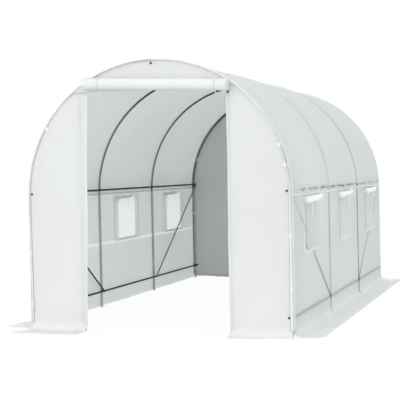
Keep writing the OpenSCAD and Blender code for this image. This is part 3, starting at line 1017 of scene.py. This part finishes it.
# %% Window nets
THREAD_GAP = 0.0018
THREAD_W = 0.0003
THREAD_T = 0.00022
NET_OUT = 0.0035
NET_PAST = 0.005
panel_z = (window_z[0] - 0.010, window_z[1] + 0.010)


def thread_boxes(low, high, name):
    """One thin box for each row of low and high corners, as one mesh: the eight
    corners are picked from the two ends, and the same six faces join them."""
    pick = [[0, 0, 0], [1, 0, 0], [1, 1, 0], [0, 1, 0], [0, 0, 1], [1, 0, 1], [1, 1, 1], [0, 1, 1]]
    corners = np.where(np.array(pick)[None], high[:, None], low[:, None])
    quads = [[0, 3, 2, 1], [4, 5, 6, 7], [0, 1, 5, 4], [1, 2, 6, 5], [2, 3, 7, 6], [3, 0, 4, 7]]
    faces = (np.array(quads)[None] + 8 * np.arange(len(low))[:, None, None]).reshape(-1, 4)
    mesh = bpy.data.meshes.new(name)
    mesh.from_pydata(corners.reshape(-1, 3).tolist(), [], faces.tolist())
    return placed(name, mesh)


def corner_rows(x, y, z):
    """One row (x, y, z) for each thread, from numbers and arrays."""
    return np.stack(np.broadcast_arrays(x, y, z), axis=-1)


def window_net(side_name, sign):
    """The nets of one side: upright threads on one layer and level ones behind, which
    end a little past the opening."""
    low, high = [], []
    x = skin + NET_OUT
    half = window_w / 2 + NET_PAST
    for c in bay_y:
        y = np.arange(c - half, c + half, THREAD_GAP)
        z = np.arange(panel_z[0], panel_z[1], THREAD_GAP)
        low.append(corner_rows(sign * x, y - THREAD_W / 2, panel_z[0]))
        high.append(corner_rows(sign * (x - THREAD_T), y + THREAD_W / 2, panel_z[1]))
        low.append(corner_rows(sign * (x - THREAD_T), c - half, z - THREAD_W / 2))
        high.append(corner_rows(sign * (x - 2 * THREAD_T), c + half, z + THREAD_W / 2))
    low, high = np.concatenate(low), np.concatenate(high)
    net = thread_boxes(np.minimum(low, high), np.maximum(low, high), f"window_net_{side_name}")
    net.data.materials.append(net_thread)
    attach(net, "root")
    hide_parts(f"window_nets_{side_name}")
    print(net.name, len(low), "threads")


for name, sign in SIDES.items():
    window_net(name, sign)

# %% [markdown]
# A strip is a flat tape with a slightly raised middle, laid from one point to
# another. It sways by a millimetre or two, as sewing leaves it, where a plain
# box would look like a board.

# %% Window strips
STRIP_W, STRIP_OUT = 0.017, 0.0020


def strip(name, start, end, across, out, width, seed):
    """A tape of the given width from start to end, which bulges along out."""
    start, end, across, out = (np.array(v, dtype=float) for v in (start, end, across, out))
    line = start + (end - start) * np.linspace(0, 1, 25)[:, None]
    run = np.linspace(0, np.linalg.norm(line[-1] - line[0]), len(line))
    sway = 0.0018 * ripple(run, run * 0, 0.16, seed)
    upper = [(-0.5, 0.0006), (-0.2, 0.0016), (0.2, 0.0016), (0.5, 0.0006)]
    section = np.array([(-0.5, -0.0006), *upper, (0.5, -0.0006)])
    points = line[:, None] + across * (section[:, :1] * width + sway[:, None, None]) + out * section[:, 1:]
    uv = np.stack(np.broadcast_arrays(section[:, 0] * width, run[:, None]), -1)
    facing = np.dot(np.cross(line[-1] - line[0], across), out)
    piece = grid_piece(name, points, ring=True, caps=True, flip=facing > 0, uv=uv)
    piece.data.materials.append(strip_film)
    return piece


def window_strips(side_name, sign):
    """The tapes at both sides and at the foot of each net of one side."""
    parts = []
    x = sign * (skin + STRIP_OUT)
    out = (sign, 0, 0)
    half = panel_w / 2 - STRIP_W / 2
    foot, head = panel_z
    for i, c in enumerate(bay_y):
        for j, y in enumerate((c - half, c + half)):
            ends = (x, y, foot), (x, y, head)
            parts.append(strip("side_strip", *ends, (0, 1, 0), out, STRIP_W, 10 * i + j))
        ends = (x, c - half, foot), (x, c + half, foot)
        parts.append(strip("foot_strip", *ends, (0, 0, 1), out, 0.7 * STRIP_W, 10 * i + 5))
    strips = joined(f"window_strips_{side_name}", parts)
    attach(strips, "root")
    print(strips.name, len(parts), "tapes")


for name, sign in SIDES.items():
    window_strips(name, sign)

# %% [markdown]
# ## Rolled sheets
#
# The door and the window flaps are rolled up. A roll is a sheet on a spiral:
# the radius grows by about 3 mm with each turn, as it does in a loose roll, and
# the number of turns follows from the sheet's real drop. A cylinder would be
# quicker, but it shows no layers at its ends. Rolling by hand leaves it uneven,
# so the radius and the axis wander a little along the roll, and the ties pinch
# it. WOUND_T is more than the film's own thickness, so that the layers show.

# %% Rolled sheets
ROUNDING = 0.012
WOUND_T = 0.0020


def wound_sheet(name, start, end, radius, core, drop, seed, uneven, columns, ties=(), cone=0.0, tip=0.0):
    """A spiral carried from start to end, and how many turns it has. Its radius grows
    evenly from core to radius over as many turns as use up the drop: the drop divided
    by a turn's mean girth. Both ends are rounded off. uneven is the share by which the
    radius wanders, ties are the places where a strap pinches it, cone makes the start
    thicker than the end, and tip draws the end in to a point and up."""
    start, end, up = (np.array(v, dtype=float) for v in (start, end, (0, 0, 1)))
    length = np.linalg.norm(end - start)
    along = (end - start) / length
    side = np.cross(along, up)
    turns = drop / (np.pi * (radius + core))
    angle = np.linspace(0, 2 * np.pi * turns, int(26 * turns) + 1)
    close = ROUNDING * np.array([0, 0.15, 0.4, 0.7])
    run = np.concatenate([close, np.linspace(ROUNDING, length - ROUNDING, columns), length - close[::-1]])
    angle, run = np.meshgrid(angle, run, indexing="ij")
    r = core + (radius - core) * angle / angle.max()
    r = r * (1 + uneven * ripple(run, angle * 0, 0.35, seed))
    r = r * (1 + 0.5 * uneven * ripple(run, angle, 0.16, seed + 1))
    r = r * (1 + cone * (1 - 2 * run / length)) * (1 - tip * bell(length - run, 0.06))
    inward = np.clip(1 - np.minimum(run, length - run) / ROUNDING, 0, 0.985)
    r = r * np.sqrt(1 - inward**2)
    for tie in ties:
        r = r * (1 - 0.05 * bell(run - tie * length, 0.022))
    sag = 0.05 * radius * ripple(run, run * 0, 0.6, seed + 2) + 0.02 * tip * bell(length - run, 0.09)
    shift = 0.004 * ripple(angle * 0.1, angle * 0, 0.5, seed + 3)
    place = start + along * (run + shift * (2 * run / length - 1))[..., None]
    turn = angle.max() + np.pi / 2 - angle
    points = place + side * (r * np.cos(turn))[..., None]
    points = points + up * (r * np.sin(turn) + sag)[..., None]
    uv = np.stack([r * angle * 0.5, run], axis=-1)
    return grid_piece(name, points, uv=uv), turns


def tie_loop(centre, along, radius, width, tail):
    """A webbing loop round a roll: a closed flat ring and one end that hangs."""
    centre, along, up = (np.array(v, dtype=float) for v in (centre, along, (0, 0, 1)))
    side = np.cross(along, up)
    a = np.linspace(0, 2 * np.pi, 33)[:, None, None]
    rim = np.array([(0, -0.5), (0, 0.5), (0.0012, 0.5), (0.0012, -0.5)])
    r = radius + rim[:, :1]
    points = centre + side * r * np.cos(a) + up * r * np.sin(a) + along * width * rim[:, 1:]
    ring = grid_piece("tie", points, ring=True)
    steps = np.linspace(0, 1, 9)[:, None, None]
    flat = np.array([(-0.5, 0), (0.5, 0), (0.5, 0.0012), (-0.5, 0.0012)])
    hang = centre - up * (radius + tail * steps) + along * tail * 0.3 * steps**1.5
    points = hang + along * width * flat[:, :1] + side * flat[:, 1:]
    strap = grid_piece("tie", points, ring=True, caps=True)
    return [ring, strap]


# %% [markdown]
# The rolled door hangs over the top of the doorway a little askew, its left end
# higher than its right one, and reaches past the doorway on both sides.

# %% Door roll
ROLL_SHIFT, ROLL_TILT = 0.034, 0.029
roll_middle = (roll_low + roll_high) / 2
roll_radius = (roll_high[1] - roll_low[1]) / 2
roll_half = (roll_high[0] - roll_low[0]) / 2 - 0.004
door_drop = header_z + 0.05
roll_ends = [
    roll_middle + np.array((ROLL_SHIFT + sign * roll_half, 0, -sign * ROLL_TILT)) for sign in (-1, 1)
]
DOOR_TIES = (0.118, 0.915)
door_sheet, door_turns = wound_sheet(
    "door_sheet_rolled",
    *roll_ends,
    radius=roll_radius * 0.98,
    core=0.016,
    drop=door_drop,
    seed=101,
    uneven=0.03,
    columns=90,
    ties=DOOR_TIES,
)
door_sheet.data.materials.append(roll_film)
thicken(door_sheet, WOUND_T)
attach(door_sheet, "root")
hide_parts("door_roll")
print(f"door roll: {door_turns:.1f} turns for a drop of {door_drop:.2f} m")

door_tie_parts = []
for place in DOOR_TIES:
    at = roll_ends[0] + (roll_ends[1] - roll_ends[0]) * place
    door_tie_parts += tie_loop(at, (1, 0, 0), roll_radius * 0.965, 0.009, 0.016)
door_ties = joined("door_ties", door_tie_parts)
door_ties.data.materials.append(roll_film)
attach(door_ties, "root")

# %% [markdown]
# A window flap is rolled up by hand and tied with two straps. It comes out as a
# cone: thick at its front end, drawn to a point at the other.

# %% Window flaps
FLAP_DROP = window_z[1] - window_z[0] + 0.05
FLAP_SINK, FLAP_ENDS = 0.008, (-0.004, 0.006)
STRAP_PLACES = (0.30, 0.68)


def window_flaps(side_name, sign, seed):
    """Three rolled flaps over one side's windows, each tied in two places."""
    x = sign * (flap_low[0] + flap_high[0]) / 2
    radius = (flap_high[0] - flap_low[0]) / 2
    z = (flap_low[2] + flap_high[2]) / 2 - FLAP_SINK
    rolls, ties = [], []
    for i, c in enumerate(bay_y):
        places = zip((c - flap_half, c + flap_half), FLAP_ENDS)
        ends = [np.array((x, y, z + rise)) for y, rise in places]
        roll, turns = wound_sheet(
            "flap",
            *ends,
            radius=radius,
            core=0.010,
            drop=FLAP_DROP,
            seed=seed + 7 * i,
            uneven=0.10,
            columns=44,
            ties=STRAP_PLACES,
            cone=0.12,
            tip=0.6,
        )
        rolls.append(roll)
        for place in STRAP_PLACES:
            at = ends[0] + (ends[1] - ends[0]) * place
            ties += tie_loop(at, (0, 1, 0), radius * 0.95, 0.011, 0.09)
    flaps = joined(f"window_flap_{side_name}", rolls)
    flaps.data.materials.append(flap_film)
    thicken(flaps, WOUND_T)
    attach(flaps, "root")
    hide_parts(f"window_flaps_{side_name}")
    straps = joined(f"flap_ties_{side_name}", ties)
    straps.data.materials.append(webbing_white)
    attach(straps, "root")
    print(flaps.name, f"{turns:.1f} turns each")


for name, sign in SIDES.items():
    window_flaps(name, sign, 211 + sign)

# %% [markdown]
# ## Door hems
#
# The doorway's edges carry a doubled hem with the closing strip for the door.
# It shows as a bright line from the header down to the ground. It could be part
# of the panel, but as a strip of its own it gets the finish of doubled film. Its
# section gives the width across the edge and the distance from the sheet.

# %% Door hems
HEM_SECTION = np.array(
    [(-0.002, 0.0006), (-0.002, -0.0012), (0.003, -0.0019), (0.009, -0.0008), (0.009, 0.0006)]
)


def door_hem(side_name, sign):
    """A strip along the doorway's edge, which follows the panel's own wave."""
    inner, seed = PANELS[side_name]["inner"], PANELS[side_name]["seed"]
    z = stations([0.05, header_z], 0.02)
    start = door_edge(z, inner, panel_top, seed)
    hold = np.clip((panel_top - z) / 0.15, 0.1, 1)
    y = -(front_y + panel_push(sign * start, z, seed) * hold)
    dx, dy = HEM_SECTION.T
    rows = sign * (start[:, None] + dx), y[:, None] + dy, z[:, None]
    points = np.stack(np.broadcast_arrays(*rows), axis=-1)
    uv = np.stack(np.broadcast_arrays(np.arange(5) * 0.006, z[:, None]), -1)
    hem = grid_piece(f"door_hem_{side_name}", points, ring=True, caps=True, flip=sign > 0, uv=uv)
    hem.data.materials.append(hem_film)
    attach(hem, "root")
    print(hem.name, len(z), "rows from the ground to the header")


for name, sign in SIDES.items():
    door_hem(name, sign)

# %% [markdown]
# ## Bolts and clips
#
# Where a purlin crosses an arch, a bolt goes through both. Its dome shows on the
# outside of the end arches and its nut on the inside of every arch. The low
# crossing at the front's left shows no dome, and the right door post has one of
# its own under the header. A bolt is a profile turned round its axis, worked
# out as one array, so that no modifier is needed for such a small thing.

# %% Bolts
def turned(profile, centre, axis, sides=16):
    """A profile of (distance along the axis, radius) turned round the axis."""
    axis = np.array(axis, dtype=float) / np.linalg.norm(axis)
    helper = np.array((0, 0, 1.0)) if abs(axis[2]) < 0.9 else np.array((1.0, 0, 0))
    a = np.cross(axis, helper)
    a /= np.linalg.norm(a)
    b = np.cross(axis, a)
    t = 2 * np.pi * np.arange(sides) / sides
    ring = a * np.cos(t)[:, None] + b * np.sin(t)[:, None]
    h, r = np.array(profile).T[:, :, None, None]
    return grid_piece("bolt", np.array(centre) + axis * h + ring * r, ring=True, caps=True)


DOME = [(0.0, 0.0085), (0.001, 0.0085), (0.0012, 0.0070)]
DOME += [(0.003, 0.0062), (0.0045, 0.0045), (0.0055, 0.0020)]
NUT = [(0.0, 0.0080), (0.0012, 0.0080), (0.0012, 0.0062)]
NUT += [(0.0065, 0.0062), (0.0065, 0.0028), (0.0095, 0.0026)]
ON_BAND, ON_POST, POST_BOLT_DROP = 0.0022, 0.004, 0.055
bolts = []
ridge_z = middle("ridge_purlin")[2]
post_x = middle("door_post_right")[0]
crossings = [(sign * line[0], line[2]) for sign in (-1, 1) for line in (mid_purlin, low_purlin)]
crossings.append((0.0, ridge_z))
for x, z in crossings:
    low_left = x < 0 and z < spring_z / 2
    for end in (1,) if low_left else (-1, 1):
        bolts.append(turned(DOME, (x, end * (end_out + ON_BAND), z), (0, end, 0)))
bolts.append(turned(DOME, (post_x, -(end_out + ON_POST), header_z - POST_BOLT_DROP), (0, -1, 0)))
for y in arch_y:
    for sign in (-1, 1):
        for line in (mid_purlin, low_purlin):
            bolts.append(turned(NUT, (sign * (line[0] - half_tube), y, line[2]), (-sign, 0, 0), sides=6))
    bolts.append(turned(NUT, (0, y, ridge_z - half_tube), (0, 0, -1), sides=6))
bolt_piece = joined("frame_bolts", bolts)
bolt_piece.data.materials.append(bolt_steel)
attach(bolt_piece, "root")
print(len(bolts), "bolt heads and nuts on", len(crossings), "crossings of each arch")

# %% [markdown]
# Small clips of moulded plastic snap over the end arches and hold the film.
# In front they sit at uneven heights, as they do on a tunnel put up by hand, and
# the heights behind are guessed. The keys give the end and the side. A clip is
# part of a tube's wall, and its two rims are turned in: each row has a place
# along the arch and a radius.

# %% Clips
CLIP_HEIGHTS = {
    (-1, -1): (0.19, 0.57, 1.50),
    (-1, 1): (0.33, 0.70, 1.19, 1.33),
    (1, -1): (0.10, 0.70, 1.28),
    (1, 1): (0.10, 0.70, 1.28),
}
CLIP_ROWS = np.array([(-0.013, 0.0138), (-0.012, 0.0150), (0.012, 0.0150), (0.013, 0.0138)])
CLIP_T = 0.0012


def arch_clip(x, y, z, sign, end):
    """A snap clip: part of a tube's wall, 26 mm long, round the arch at (x, z)."""
    angle = np.arctan2(max(z - spring_z, 0), abs(x))
    outward = np.array([sign * np.cos(angle), 0, np.sin(angle)])
    along = np.array([-sign * np.sin(angle), 0, np.cos(angle)])
    back = np.array([0, end, 0])
    turn = np.linspace(-0.45 * np.pi, (0.95 if end < 0 else 1.4) * np.pi, 15)[:, None]
    place, r = CLIP_ROWS.T[:, :, None, None]
    points = np.array([x, y, z]) + along * place + outward * r * np.cos(turn) + back * r * np.sin(turn)
    return thicken(grid_piece("clip", points, flip=(sign * end) < 0), CLIP_T)


clips = []
for (end, sign), heights in CLIP_HEIGHTS.items():
    for z in heights:
        clips.append(arch_clip(sign * arch_half(z), end * arch_y[3], z, sign, end))
clip_piece = joined("film_clips", clips)
clip_piece.data.materials.append(clip_white)
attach(clip_piece, "root")
print(clip_piece.name, len(clips), "clips")

# %% [markdown]
# ## Stage, light and camera
#
# The floor is white and as bright as the background for the camera, but keeps
# a share of its real shading so that the tunnel's soft shadow stays. The Light
# Path node tells a ray that is seen from one that only lights something.

# %% Stage
FLOOR_HALF, FLOOR_DROP = 40, 0.001
FLOOR_WHITE = 0.95


def seen_directly(tree):
    """1 for a ray from the camera, off a shiny face or through a clear one, and 0
    for a ray that only carries light: the largest of three values."""
    path = add(tree, "ShaderNodeLightPath")
    rays = {0: path.outputs["Is Camera Ray"], 1: path.outputs["Is Glossy Ray"]}
    seen = add(tree, "ShaderNodeMath", rays, operation="MAXIMUM")
    rays = {0: seen, 1: path.outputs["Is Transmission Ray"]}
    return add(tree, "ShaderNodeMath", rays, operation="MAXIMUM")


def stage_material():
    """White where it is seen directly, with a twentieth of the real shading."""
    material, tree, out = new_material("white_stage_floor")
    whiteness = {0: seen_directly(tree), 1: FLOOR_WHITE}
    share = add(tree, "ShaderNodeMath", whiteness, operation="MULTIPLY")
    shaded = add(tree, "ShaderNodeBsdfDiffuse", {"Color": srgb("f4f5f5")})
    white = add(tree, "ShaderNodeEmission", {"Color": (1, 1, 1, 1), "Strength": 1.0})
    face = add(tree, "ShaderNodeMixShader", {0: share, 1: shaded, 2: white})
    tree.links.new(face.outputs[0], out.inputs[0])
    return material


ends = (-FLOOR_HALF, FLOOR_HALF)
corners = np.array([[(x, -y, -FLOOR_DROP) for x in ends] for y in ends])
floor = grid_piece("stage_floor", corners)
floor.data.materials.append(stage_material())
print(f"floor {2 * FLOOR_HALF} m wide, {1000 * FLOOR_DROP:.0f} mm under the tunnel")

# %% [markdown]
# The light is a pale sky, which is plain white where it is seen directly, and
# one very wide soft lamp from the left and the front.

# %% Sky and lamp
world = bpy.data.worlds.new("pale_sky")
bpy.context.scene.world = world
world.use_nodes = True
sky = world.node_tree
sky.nodes.clear()
lighting = add(sky, "ShaderNodeBackground", {"Color": srgb("fbfbfb"), "Strength": 1.19})
backdrop = add(sky, "ShaderNodeBackground", {"Color": (1, 1, 1, 1), "Strength": 1.0})
both = add(sky, "ShaderNodeMixShader", {0: seen_directly(sky), 1: lighting, 2: backdrop})
add(sky, "ShaderNodeOutputWorld", {0: both})


def lamp(name, direction, strength, softness):
    """A wide sun that shines along the direction, softness degrees across."""
    data = bpy.data.lights.new(name, "SUN")
    data.energy = strength
    data.angle = np.radians(softness)
    light = bpy.data.objects.new(name, data)
    light.rotation_euler = Vector(direction).to_track_quat("-Z", "Y").to_euler()
    bpy.context.scene.collection.objects.link(light)


lamp("soft_key", (0.45, 0.8, -0.5), 0.8, 60)
print("lights:", [light.name for light in bpy.data.lights])

# %% [markdown]
# The camera stands at the right of the doorway at chest height, a little
# rolled, as the picture was taken. Its place was found by fitting the frame's
# own points to the picture: focal length and centre are given in pixels of a
# 400 pixel frame, which is how Blender's lens and shift follow from them.

# %% Camera
FRAME_PX = 400
EYE = (2.7458, -8.2923, 1.1679)
YAW, PITCH, ROLL = np.radians((-18.937, -0.61, -1.243))
FOCAL_PX = 983.53
CENTRE_PX = (220.0, 180.0)

forward = np.array([np.sin(YAW) * np.cos(PITCH), np.cos(YAW) * np.cos(PITCH), np.sin(PITCH)])
level_right = np.array([np.cos(YAW), -np.sin(YAW), 0])
level_up = np.cross(level_right, forward)
right = level_right * np.cos(ROLL) + level_up * np.sin(ROLL)
up = -level_right * np.sin(ROLL) + level_up * np.cos(ROLL)
camera_data = bpy.data.cameras.new("camera")
camera_data.sensor_width = 36
camera_data.lens = FOCAL_PX / FRAME_PX * camera_data.sensor_width
camera_data.shift_x = (FRAME_PX / 2 - CENTRE_PX[0]) / FRAME_PX
camera_data.shift_y = (CENTRE_PX[1] - FRAME_PX / 2) / FRAME_PX
camera = bpy.data.objects.new("camera", camera_data)
rows = [[right[i], up[i], -forward[i], EYE[i]] for i in range(3)]
camera.matrix_world = Matrix(rows + [[0, 0, 0, 1]])
bpy.context.scene.collection.objects.link(camera)
bpy.context.scene.camera = camera
bpy.context.scene.view_settings.view_transform = "Standard"
print(f"lens {camera_data.lens:.1f} mm, eye {EYE[2]:.2f} m above the ground")
